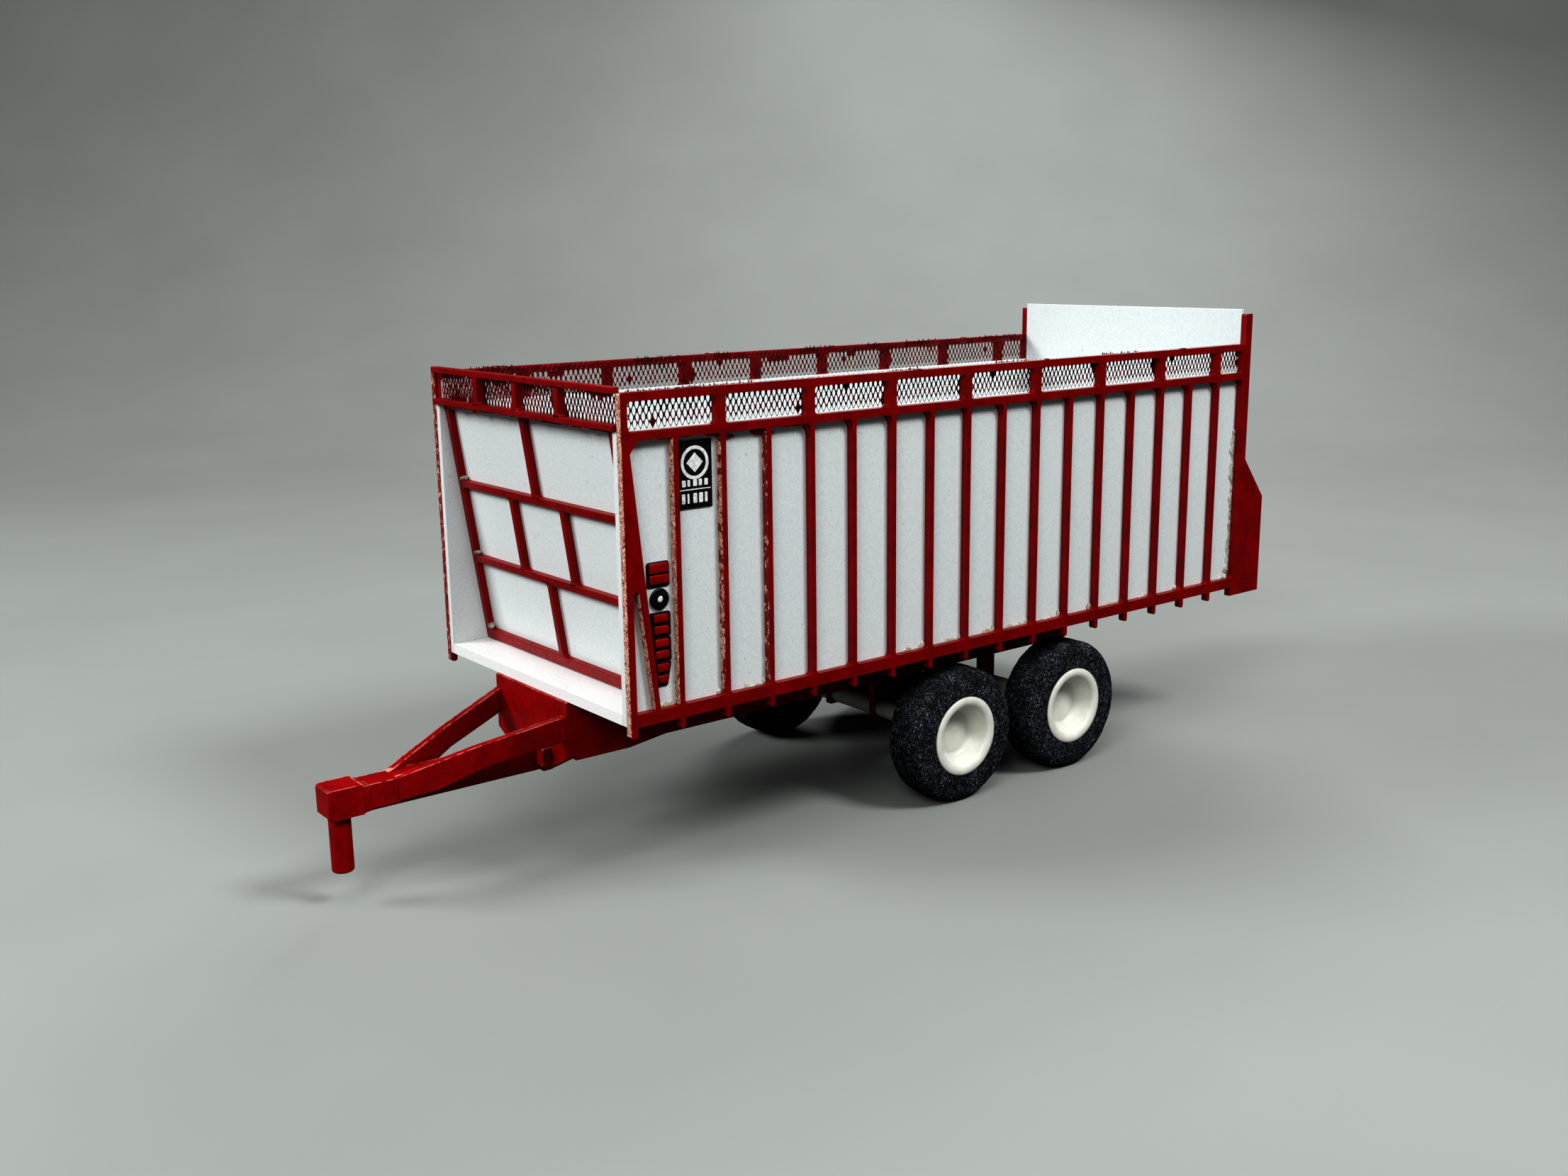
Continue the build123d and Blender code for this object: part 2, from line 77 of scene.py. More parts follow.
class Shader:
    """A node material under construction. Its patterns use the row frame, in metres."""

    def __init__(self, name):
        self.material = bpy.data.materials.new(name)
        self.material.use_nodes = True
        self.tree = self.material.node_tree
        self.surface = self.tree.nodes["Principled BSDF"]
        self.place = self.add("ShaderNodeTexCoord").outputs["Object"]

    def add(self, kind, inputs=None, **settings):
        """Add a node; an input is a value or another node's output."""
        made = self.tree.nodes.new(kind)
        for name, value in settings.items():
            setattr(made, name, value)
        for name, value in (inputs or {}).items():
            self.feed(made.inputs[name], value)
        return made

    def feed(self, socket, value):
        """Give an input a value or another node's output."""
        if isinstance(value, bpy.types.NodeSocket):
            self.tree.links.new(value, socket)
        else:
            socket.default_value = value

    def noise(self, size, detail=2.0, stretch=(1, 1, 1), offset=(0, 0, 0), distortion=0.0):
        """Noise with features about size metres across, longer along an axis stretched below 1."""
        inputs = {"Vector": self.place, "Location": offset, "Scale": stretch}
        moved = self.add("ShaderNodeMapping", inputs).outputs[0]
        inputs = {"Vector": moved, "Scale": 1 / size, "Detail": detail, "Distortion": distortion}
        return self.add("ShaderNodeTexNoise", inputs).outputs["Fac"]

    def ramp(self, value, *stops):
        """Colour ramp over (position, colour) stops."""
        made = self.add("ShaderNodeValToRGB", {"Fac": value})
        elements = made.color_ramp.elements
        while len(elements) < len(stops):
            elements.new(0.5)
        for element, (position, colour) in zip(elements, stops):
            element.position = position
            element.color = colour
        return made.outputs["Color"]

    def between(self, value, low=0.3, high=0.7, to_low=0.0, to_high=1.0):
        """Map value from low..high to to_low..to_high, clamped."""
        inputs = {"Value": value, "From Min": low, "From Max": high, "To Min": to_low, "To Max": to_high}
        return self.add("ShaderNodeMapRange", inputs).outputs["Result"]

    def maths(self, operation, first, second=0.0):
        """One maths node on two values."""
        made = self.add("ShaderNodeMath", operation=operation)
        self.feed(made.inputs[0], first)
        self.feed(made.inputs[1], second)
        return made.outputs[0]

    def mix(self, factor, first, second):
        """Mix two colours. The mix node's colour sockets are told apart only by number."""
        made = self.add("ShaderNodeMix", data_type="RGBA")
        for number, value in ((0, factor), (6, first), (7, second)):
            self.feed(made.inputs[number], value)
        return made.outputs[2]

    def edges(self, width):
        """1 on outer edges, falling to 0 at about width metres from them."""
        kind = "ShaderNodeAmbientOcclusion"
        depth = self.add(kind, {"Distance": width}, samples=6, inside=True, only_local=True)
        return self.between(depth.outputs["AO"], 0.9, 0.7)

    def upward(self):
        """0 on upright and overhanging faces, rising to 1 on faces that tilt up."""
        normal = self.add("ShaderNodeNewGeometry").outputs["Normal"]
        rise = self.add("ShaderNodeSeparateXYZ", {"Vector": normal}).outputs["Z"]
        return self.between(rise, 0.1, 0.35)

    def hollow_shade(self, width):
        """Mask for painted shade: 1 deep in recesses of about width metres, 0 in the open."""
        depth = self.add("ShaderNodeAmbientOcclusion", {"Distance": width}, samples=8)
        return self.between(depth.outputs["AO"], 0.95, 0.35)

    def bump(self, height, depth, below=None):
        """Bump of depth metres, on top of another bump if one is given."""
        inputs = {"Height": height, "Strength": 1.0, "Distance": depth}
        if below is not None:
            inputs["Normal"] = below
        return self.add("ShaderNodeBump", inputs).outputs[0]

    def finish(self, colour, roughness, skin=None, **others):
        """Feed the surface and return the material. Others name inputs, with _ for spaces."""
        others.update({"Base_Color": colour, "Roughness": roughness})
        if skin is not None:
            others["Normal"] = skin
        for name, value in others.items():
            self.feed(self.surface.inputs[name.replace("_", " ")], value)
        return self.material


def red_paint(name, dark, light, wear_and_highlight=0.0, gloss=0.34):
    """Thick brush paint: slow colour changes, brush drag, a lumpy skin, and pale upward-facing edges that are
    partly worn paint and partly a painted highlight.
    """
    s = Shader(name)
    cloud = s.noise(2.5 * MM, 3)
    drag = s.noise(0.5 * MM, 3, stretch=(1, 0.25, 1), distortion=0.4)
    lumps = s.noise(0.9 * MM, 2)
    pores = s.noise(0.16 * MM, 2)
    colour = s.mix(s.between(cloud, 0.35, 0.65), dark, light)
    colour = s.mix(s.between(drag, 0.55, 0.8, 0, 0.35), colour, light)
    # Pale pink on upward-facing edges: partly worn paint, partly a painted highlight where the light catches
    # the tops.
    if wear_and_highlight:
        worn_and_lit_edges = s.maths("MULTIPLY", s.edges(0.26 * MM), s.between(s.noise(0.7 * MM, 4), 0.42, 0.54))
        worn_and_lit_edges = s.maths("MULTIPLY", worn_and_lit_edges, s.upward())
        colour = s.mix(s.maths("MULTIPLY", worn_and_lit_edges, wear_and_highlight), colour, linear(214, 138, 128))
    skin = s.bump(lumps, 0.05 * MM)
    skin = s.bump(drag, 0.012 * MM, skin)
    skin = s.bump(pores, 0.004 * MM, skin)
    roughness = s.between(drag, 0.3, 0.7, gloss, gloss + 0.2)
    coat = {"Coat_Weight": 0.04, "Coat_Roughness": 0.16}
    sheen = {"Specular_IOR_Level": 0.35, "Specular_Tint": (1.0, 0.4, 0.42, 1.0)}
    return s.finish(colour, roughness, skin, **coat, **sheen)


def white_styrene(name, tint, strokes=0.0):
    """Satin white sheet with a faint eggshell mottle, a few dust specks and optional brush strokes."""
    s = Shader(name)
    mottle = s.noise(0.22 * MM, 2)
    cloud = s.noise(9 * MM, 3)
    specks = s.between(s.noise(0.35 * MM, 1, offset=(3, 1, 2)), 0.74, 0.78)
    shade, haze = [linear(*[value * share for value in tint]) for share in (0.93, 0.96)]
    colour = s.mix(s.between(mottle), shade, linear(*tint))
    colour = s.mix(s.between(cloud, 0.3, 0.7, 0, 0.25), colour, haze)
    colour = s.mix(s.maths("MULTIPLY", specks, 0.5), colour, linear(120, 118, 112))
    skin = s.bump(mottle, 0.006 * MM)
    if strokes:
        skin = s.bump(s.noise(0.45 * MM, 3, stretch=(0.12, 1, 0.3)), strokes * MM, skin)
    return s.finish(colour, s.between(cloud, 0.3, 0.7, 0.42, 0.55), skin, Specular_IOR_Level=0.4)


def bare_fibreboard(name, painted):
    """Bare fibreboard edge: matted brown fibres, with more smears of paint as painted nears 1."""
    s = Shader(name)
    fibres = s.noise(0.16 * MM, 3, stretch=(1, 1, 0.5), distortion=1.6)
    grain = s.noise(0.5 * MM, 3, stretch=(1, 1, 0.4), offset=(2, 2, 0))
    patches = s.noise(0.5 * MM, 3, stretch=(1, 1, 0.6), offset=(5, 0, 1))
    colour = s.ramp(
        fibres,
        (0.38, linear(100, 26, 24)),
        (0.45, linear(162, 106, 86)),
        (0.54, linear(212, 166, 144)),
        (0.64, linear(240, 214, 200)),
    )
    colour = s.mix(s.between(grain, 0.5, 0.7, 0, 0.4), colour, linear(120, 66, 48))
    smear = 0.62 - 0.24 * painted
    smears = s.between(patches, smear, smear + 0.05, 0, 0.95)
    colour = s.mix(smears, colour, linear(118, 4, 10))
    return s.finish(colour, 0.75, s.bump(fibres, 0.05 * MM), Specular_IOR_Level=0.25)


def dusty_rubber(name):
    """Black foam rubber, densely flecked with pale dust."""
    s = Shader(name)
    flecks = s.noise(0.17 * MM, 3, stretch=(1, 1, 0.6), distortion=1.6)
    drift = s.noise(2.2 * MM, 3, offset=(1, 4, 2))
    dust = s.maths("MULTIPLY", s.between(flecks, 0.56, 0.66), s.between(drift, 0.36, 0.62, 0.3, 1.0))
    colour = s.mix(dust, linear(3, 3, 5), linear(140, 151, 165))
    skin = s.bump(flecks, 0.03 * MM, s.bump(s.noise(0.2 * MM, 3), 0.05 * MM))
    return s.finish(colour, s.between(flecks, 0.3, 0.7, 0.7, 0.95), skin, Specular_IOR_Level=0.25)


def ivory_plastic(name):
    """Off-white moulded plastic with a soft gleam, and painted shade darkening its recesses."""
    s = Shader(name)
    flow = s.noise(1.6 * MM, 2)
    colour = s.mix(s.between(flow), linear(212, 213, 203), linear(224, 225, 216))
    # painted shade: a grey-green darkening deep in the rim's dish and other recesses
    colour = s.mix(s.maths("MULTIPLY", s.hollow_shade(2.2 * MM), 0.6), colour, linear(128, 128, 112))
    skin = s.bump(s.noise(0.5 * MM, 3), 0.012 * MM)
    return s.finish(colour, s.between(flow, 0.3, 0.7, 0.36, 0.48), skin)


def black_print(name):
    """Satin black film with faint scuffs."""
    s = Shader(name)
    scuffs = s.noise(0.4 * MM, 3)
    colour = s.mix(s.between(scuffs, 0.4, 0.7), linear(6, 6, 8), linear(20, 20, 23))
    roughness = s.between(scuffs, 0.3, 0.7, 0.35, 0.55)
    return s.finish(colour, roughness, s.bump(scuffs, 0.006 * MM), Specular_IOR_Level=0.25)


def white_print(name):
    """Thin white print, slightly patchy."""
    s = Shader(name)
    patchy = s.noise(0.3 * MM, 3)
    colour = s.mix(s.between(patchy, 0.35, 0.6), linear(196, 198, 198), linear(238, 240, 240))
    return s.finish(colour, 0.5, s.bump(patchy, 0.01 * MM))


def clear_glue(name):
    """Dried glue, cloudy and faintly yellow."""
    s = Shader(name)
    ripples = s.noise(0.5 * MM, 2)
    clouds = s.noise(1.3 * MM, 3)
    colour = s.mix(s.between(clouds, 0.4, 0.6), linear(216, 209, 190), linear(240, 237, 228))
    clear = s.between(ripples, 0.35, 0.65, 0.45, 0.8)
    return s.finish(colour, 0.1, s.bump(ripples, 0.03 * MM), IOR=1.47, Transmission_Weight=clear)


def plain_floor(name):
    """Pale matt studio floor that throws little light back up at the object."""
    s = Shader(name)
    drift = s.noise(60 * MM, 3)
    pale = s.mix(drift, linear(132, 136, 133), linear(144, 148, 145))
    seen = s.add("ShaderNodeLightPath").outputs["Is Camera Ray"]
    return s.finish(s.mix(seen, linear(52, 53, 52), pale), 0.8)


frame_red = red_paint("frame_red", linear(112, 0, 3), linear(132, 0, 6))
chassis_red = red_paint("chassis_red", linear(122, 0, 4), linear(144, 2, 8), wear_and_highlight=0.9)
# painted shade: a darker copy of the frame red, for the thin mesh strands and the strand ends and lumps on
# the top rail
shaded_mesh_red = red_paint("shaded_mesh_red", linear(52, 0, 3), linear(92, 0, 6), gloss=0.3)
badge_red = red_paint("badge_red", linear(120, 2, 5), linear(146, 6, 8), gloss=0.3)
liner_white = white_styrene("liner_white", (219, 226, 226))
shelf_white = white_styrene("shelf_white", (238, 240, 238), strokes=0.03)
fibre_bare = bare_fibreboard("fibre_bare", 0.0)
fibre_smeared = bare_fibreboard("fibre_smeared", 0.5)
fibre_painted = bare_fibreboard("fibre_painted", 0.9)
tyre_black = dusty_rubber("tyre_black")
rim_ivory = ivory_plastic("rim_ivory")
print_black = black_print("print_black")
print_white = white_print("print_white")
glue_clear = clear_glue("glue_clear")

SLOT_MATERIALS = {
    "red_frame_board": frame_red,
    "red_mesh": shaded_mesh_red,
    "red_chassis": chassis_red,
    "red_trim": badge_red,
    "black_trim": print_black,
    "white_sheet": liner_white,
    "white_axle": rim_ivory,
    "white_rim": rim_ivory,
    "black_tyre": tyre_black,
}


# ---- the CAD nodes ----
SOFT_EDGES = {
    "red_frame_board": 0.10 * MM,
    "red_chassis": 0.16 * MM,
    "white_sheet": 0.04 * MM,
    "red_trim": 0.06 * MM,
    "black_trim": 0.02 * MM,
}
WELD_REACH = 0.0005 * MM


def finish_cad_nodes():
    """Give each CAD node its finish and soften its cut edges with modifiers."""
    for part in frame["record"]["subparts"]:
        piece = nodes[part["node"]]
        slot_name = part["material_slot"]
        piece.data.materials.clear()
        piece.data.materials.append(SLOT_MATERIALS[slot_name])
        weld = piece.modifiers.new("weld", "WELD")
        weld.merge_threshold = WELD_REACH
        if slot_name in SOFT_EDGES:
            soften = piece.modifiers.new("soften", "BEVEL")
            soften.width = SOFT_EDGES[slot_name]
            soften.segments = 3
            soften.limit_method = "ANGLE"
            soften.angle_limit = math.radians(35)
            soften.use_clamp_overlap = True
        even = piece.modifiers.new("even", "WEIGHTED_NORMAL")
        even.keep_sharp = False
    nodes["front_shelf"].data.materials[0] = shelf_white


finish_cad_nodes()


# ---- building pieces ----
def put(name, data):
    """Make an object of some data and link it into the scene."""
    made = bpy.data.objects.new(name, data)
    bpy.context.scene.collection.objects.link(made)
    return made


class Shape:
    """Points and faces of one piece under construction, in metres in the row frame."""

    def __init__(self):
        self.points = []
        self.faces = []

    def point(self, place):
        """Add a point and return its index."""
        self.points.append(tuple(place))
        return len(self.points) - 1

    def join(self, *rings):
        """Skin over closed rings of point indices, each joined to the next."""
        for ring, after in zip(rings, rings[1:]):
            for i in range(len(ring)):
                j = (i + 1) % len(ring)
                self.faces.append((ring[i], ring[j], after[j], after[i]))

    def loft(self, rings):
        """Closed skin over closed rings of places, with a fan over each end."""
        indexed = [[self.point(place) for place in ring] for ring in rings]
        self.join(*indexed)
        for ring, places, flip in ((indexed[0], rings[0], True), (indexed[-1], rings[-1], False)):
            middle = self.point(sum((Vector(place) for place in places), Vector()) / len(places))
            for i in range(len(ring)):
                j = (i + 1) % len(ring)
                face = (ring[i], ring[j], middle)
                self.faces.append(face[::-1] if flip else face)

    def piece(self, name, material, slot_name, body="trailer", smooth=True):
        """Make the object, riding on a body."""
        mesh = bpy.data.meshes.new(name)
        mesh.from_pydata(self.points, [], self.faces)
        tidy = bmesh.new()
        tidy.from_mesh(mesh)
        bmesh.ops.recalc_face_normals(tidy, faces=tidy.faces)
        tidy.to_mesh(mesh)
        tidy.free()
        mesh.materials.append(material)
        if smooth:
            mesh.shade_smooth()
        piece = put(name, mesh)
        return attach(piece, body)


def ripple(place, size, seed=0):
    """Smooth noise from -1 to 1 at a place, with features about size metres across."""
    return noise.noise(Vector(place) / size + Vector((seed * 17.3, seed * 5.1, seed * 9.7)))


def turns(count):
    """Cosine and sine at count equal steps of a full turn."""
    for step in range(count):
        angle = math.tau * step / count
        yield math.cos(angle), math.sin(angle)


def corner_turns():
    """Five steps round each corner of a rounded rectangle: the corner's two signs, cosine and sine."""
    for corner, signs in enumerate(((1, 1), (-1, 1), (-1, -1), (1, -1))):
        for step in range(5):
            angle = math.radians(90 * corner + 22.5 * step)
            yield *signs, math.cos(angle), math.sin(angle)


def welded(node):
    """A CAD node's mesh with its split corners joined."""
    shape = bmesh.new()
    shape.from_mesh(nodes[node].data)
    bmesh.ops.remove_doubles(shape, verts=shape.verts, dist=WELD_REACH)
    shape.normal_update()
    return shape


def islands(elements, neighbours):
    """Split elements into connected groups."""
    left = set(elements)
    groups = []
    while left:
        group = [left.pop()]
        for element in group:
            for other in neighbours(element):
                if other in left:
                    left.discard(other)
                    group.append(other)
        groups.append(group)
    return groups


def upright_edges(node, facing, shortest):
    """Upright cut edges of a side frame that face forward (-1) or rearward (1), front to rear.

    Each is a dict of its x range, its z range and the y at its foot and head."""
    shape = welded(node)
    squarely, end_reach = 0.97, 0.05 * MM
    outermost = max if facing > 0 else min
    chosen = [face for face in shape.faces if face.normal.y * facing > squarely]
    found = []
    for group in islands(chosen, lambda face: [other for edge in face.edges for other in edge.link_faces]):
        corners = [vert.co for face in group for vert in face.verts]
        x, z = [(min(c[i] for c in corners), max(c[i] for c in corners)) for i in (0, 2)]
        if z[1] - z[0] < shortest:
            continue
        foot, head = [[c.y for c in corners if abs(c.z - level) < end_reach] for level in z]
        found.append({"x": x, "z": z, "y_foot": outermost(foot), "y_head": outermost(head)})
    shape.free()
    return sorted(found, key=lambda edge: edge["y_foot"])


def loose_boxes(node):
    """Box of each separate solid in a CAD node, from the lowest up."""
    shape = welded(node)
    boxes = []
    for group in islands(shape.verts, lambda vert: [edge.other_vert(vert) for edge in vert.link_edges]):
        low = Vector([min(vert.co[i] for vert in group) for i in range(3)])
        high = Vector([max(vert.co[i] for vert in group) for i in range(3)])
        boxes.append((low, high))
    shape.free()
    return sorted(boxes, key=lambda box: box[0].z)


# ---- expanded mesh ----
MESH_PITCH = 0.735 * MM
MESH_ROW = 0.68 * MM
HOLE_HALF_WIDTH = 0.22 * MM
HOLE_HALF_HEIGHT = 0.47 * MM
STRAND_HALF = 0.065 * MM
CELL_STEPS = 12
RIDGE_SHARE = 0.62  # where a strand is thickest, from the cell's outline to its hole
WANDER_MM = 0.06  # how far a point strays from the even pattern
WANDER_SIZE = 1.6 * MM
PAINT_REACH = 0.46 * MM  # paint starts to fill the holes this near to the frame
PAINT_FADE = 0.3 * MM
PATCH_SIZE = 2.4 * MM
CORNER_REACH = 1.75 * MM
CORNER_FADE = 0.5 * MM
LOOK_AHEAD = 3 * MM
STRAY_SHARE = 0.01  # holes closed by chance
CLOSED_PAINT = 0.8  # a hole with more paint than this is closed


def cell_outline(step):
    """Point of a rhombic cell's outline, in shares of its half width and half height."""
    corners = ((1, 0), (0, 1), (-1, 0), (0, -1))
    first, second = corners[step // 3], corners[(step // 3 + 1) % 4]
    share = step % 3 / 3
    return tuple(a + (b - a) * share for a, b in zip(first, second))


def expanded_mesh(name, node, cover, along, outward, seed, clogs=()):
    """Painted expanded metal: rounded strands round almond holes, clogged near the frame's edges.

    Each clog is a blot of paint: its distance along and up from the cover's lower start, and its radius."""
    low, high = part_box(node)
    along, outward = Vector(along), Vector(outward)
    start, end = sorted((low.dot(along), high.dot(along)))
    base = outward * outward.dot((low + high) / 2)
    rows = round((high.z - low.z) / MESH_ROW)
    columns = round((end - start) / MESH_PITCH - 0.5)
    cells = [(column, row) for row in range(rows) for column in range(columns)]
    lowest = high.z - (rows - 0.45) * MESH_ROW
    cover_tree = BVHTree.FromObject(nodes[cover], bpy.context.evaluated_depsgraph_get())
    cover_start = min(corner.dot(along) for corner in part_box(cover))
    cover_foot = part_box(cover)[0].z
    chance = random.Random(seed)
    shape = Shape()
    shared = {}
    uses = {}

    def centre(column, row):
        return start + MESH_PITCH * (column + 0.75 + 0.5 * (row % 2)), lowest + MESH_ROW * row

    def edge(column, row, step):
        across, up = cell_outline(step)
        middle_across, middle_up = centre(column, row)
        return middle_across + across * MESH_PITCH / 2, middle_up + up * MESH_ROW

    def key(column, row, step):
        """Label that neighbouring cells share for one point of their outlines."""
        across, up = cell_outline(step)
        return round(6 * (column + 0.5 * (row % 2) + across / 2)), round(3 * (row + up))

    def place(across, up, depth):
        flat = base + along * across + Vector((0, 0, up))
        drift = Vector([ripple(flat, WANDER_SIZE, seed + i) for i in range(3)]) * WANDER_MM * MM
        return flat + drift + outward * depth

    for column, row in cells:
        for step in range(CELL_STEPS):
            spot = key(column, row, step)
            uses[spot] = uses.get(spot, 0) + 1

    def outline_points(column, row, side):
        """A cell's outline on one side of the mesh. Both sides share the points at its outer rim."""
        found = []
        for step in range(CELL_STEPS):
            spot = key(column, row, step)
            rim = uses[spot] < (4 if step % 3 == 0 else 2)
            label = (spot, 0 if rim else side)
            if label not in shared:
                edge_across, edge_up = edge(column, row, step)
                shared[label] = shape.point(place(edge_across, edge_up, label[1] * STRAND_HALF))
            found.append(shared[label])
        return found

    for column, row in cells:
        across, up = centre(column, row)
        spot = base + along * across + Vector((0, 0, up)) + outward * STRAND_HALF
        gap = cover_tree.find_nearest(spot)[3]
        paint = (PAINT_REACH - gap) / PAINT_FADE
        paint += 1.2 * (ripple(spot, PATCH_SIZE, seed + 5) - 0.5)
        paint += chance.uniform(-0.12, 0.12)
        below = cover_tree.ray_cast(spot, (0, 0, -1), LOOK_AHEAD)[3]
        beyond = cover_tree.ray_cast(spot, along, LOOK_AHEAD)[3]
        if below and beyond:
            paint += (CORNER_REACH - below * 0.9 - beyond) / CORNER_FADE
        for clog_along, clog_up, radius in clogs:
            away = Vector((across - cover_start - clog_along * MM, up - cover_foot - clog_up * MM))
            paint += max(0, 3 * (1.15 - away.length / (radius * MM)))
        if chance.random() < STRAY_SHARE:
            paint = 1
        paint = min(max(paint, 0), 1)
        size = (1 - 0.55 * paint) * chance.uniform(0.93, 1.06)
        closed = paint > CLOSED_PAINT
        ring = []
        for turn, rise in turns(CELL_STEPS):
            narrow = abs(turn) ** 0.35
            hole_across = across + HOLE_HALF_WIDTH * size * turn * narrow
            ring.append((hole_across, up + HOLE_HALF_HEIGHT * size * rise))
        if not closed:
            hole = [shape.point(place(*spot_2d, 0)) for spot_2d in ring]
        for side in (1, -1):
            outer = outline_points(column, row, side)
            halfway = []
            depth = side * STRAND_HALF * (1.8 if closed else 0.8)
            for step in range(CELL_STEPS):
                edge_across, edge_up = edge(column, row, step)
                ridge_across = edge_across + (ring[step][0] - edge_across) * RIDGE_SHARE
                ridge_up = edge_up + (ring[step][1] - edge_up) * RIDGE_SHARE
                halfway.append(shape.point(place(ridge_across, ridge_up, depth)))
            shape.join(outer, halfway)
            if not closed:
                shape.join(halfway, hole)
                continue
            heart = shape.point(place(across, up, side * STRAND_HALF * 1.4))
            for here, there in zip(halfway, halfway[1:] + halfway[:1]):
                shape.faces.append((here, there, heart))
    piece = shape.piece(name, shaded_mesh_red, "red_mesh")
    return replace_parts(piece, node)


FAR_CLOGS = ((8.5, 34.6, 2.2), (16.5, 34.9, 1.2), (33.5, 33.7, 0.7), (37.6, 33.8, 0.9), (42.3, 34.4, 0.9))
FAR_CLOGS += ((52.4, 34.5, 1.4), (51.2, 34.9, 0.8), (53.8, 34.9, 0.8), (66.0, 35.0, 0.9))
FRONT_CLOGS = ((1.2, 3.4, 1.1), (4.6, 1.4, 1.6), (8.2, 1.2, 1.2), (2.6, 2.4, 0.8), (21.5, 3.9, 0.7))
expanded_mesh("expanded_mesh_right", "side_mesh_right", "side_frame_right", (0, 1, 0), (1, 0, 0), 1)
expanded_mesh("expanded_mesh_left", "side_mesh_left", "side_frame_left", (0, 1, 0), (-1, 0, 0), 2, FAR_CLOGS)
expanded_mesh("expanded_mesh_front", "front_mesh", "front_band_frame", (1, 0, 0), (0, -1, 0), 3, FRONT_CLOGS)


# ---- bare cut edges ----
def cut_edges(side):
    """Rough unpainted fibre on the forward-facing cut edges of the first uprights."""
    edges = upright_edges("side_frame_" + side, -1, 8 * MM)
    coats = [fibre_bare, fibre_bare, fibre_bare, fibre_smeared, fibre_painted]
    if side == "left":
        coats = [fibre_painted, fibre_bare, fibre_smeared, fibre_painted]
    inset, back_depth = 0.02 * MM, 0.06 * MM
    across_steps, up_step = 7, 0.13 * MM
    for number, (edge, coat) in enumerate(zip(edges, coats)):
        shape = Shape()
        x_low, x_high = edge["x"][0] + inset, edge["x"][1] - inset
        z_low, z_high = edge["z"]
        rows = int((z_high - z_low) / up_step)
        front, back = [], []
        for row in range(rows + 1):
            share = row / rows
            z = z_low + (z_high - z_low) * share
            y = edge["y_foot"] + (edge["y_head"] - edge["y_foot"]) * share
            for step in range(across_steps + 1):
                x = x_low + (x_high - x_low) * step / across_steps
                rim = step in (0, across_steps) or row in (0, rows)
                spot = Vector((x, y, z))
                rough = 0.06 + 0.07 * ripple(spot, 0.4 * MM, number) + 0.04 * ripple(spot, 0.18 * MM, number)
                jag = 0.06 * ripple(spot, 0.3 * MM, number + 7) * MM if rim else 0
                front.append(shape.point((x + jag, y - (0 if rim else rough * MM), z)))
                back.append(shape.point((x, y + back_depth, z)))
        width = across_steps + 1
        for row in range(rows):
            for step in range(across_steps):
                i = row * width + step
                shape.faces.append((front[i], front[i + 1], front[i + width + 1], front[i + width]))
                shape.faces.append((back[i], back[i + width], back[i + width + 1], back[i + 1]))
        rim_loop = list(range(width))
        rim_loop += [row * width + across_steps for row in range(1, rows + 1)]
        rim_loop += [rows * width + step for step in range(across_steps - 1, -1, -1)]
        rim_loop += [row * width for row in range(rows - 1, 0, -1)]
        shape.join([front[i] for i in rim_loop], [back[i] for i in rim_loop])
        shape.piece("cut_edge_%s_%d" % (side, number + 1), coat, "red_frame_board")


for side_name in SIDES:
    cut_edges(side_name)


# ---- tyres ----
def section_outline(half_width, low, high, count):
    """Squarish tyre section as (across, radius) pairs at equal steps, from one bead to the other."""
    square = 6
    dense_steps = 800
    dense = []
    for step in range(dense_steps + 1):
        angle = math.pi * step / dense_steps
        turn, rise = math.cos(angle), math.sin(angle)
        across = half_width * math.copysign(abs(turn) ** (2 / square), turn)
        dense.append(Vector((across, low + (high - low) * abs(rise) ** (2 / square))))
    travelled = [0.0]
    for here, there in zip(dense, dense[1:]):
        travelled.append(travelled[-1] + (there - here).length)
    found = []
    reached = 0
    for step in range(count + 1):
        wanted = travelled[-1] * step / count
        while travelled[reached + 1] < wanted and reached < dense_steps - 1:
            reached += 1
        gap = travelled[reached + 1] - travelled[reached]
        found.append(dense[reached].lerp(dense[reached + 1], (wanted - travelled[reached]) / gap))
    return found


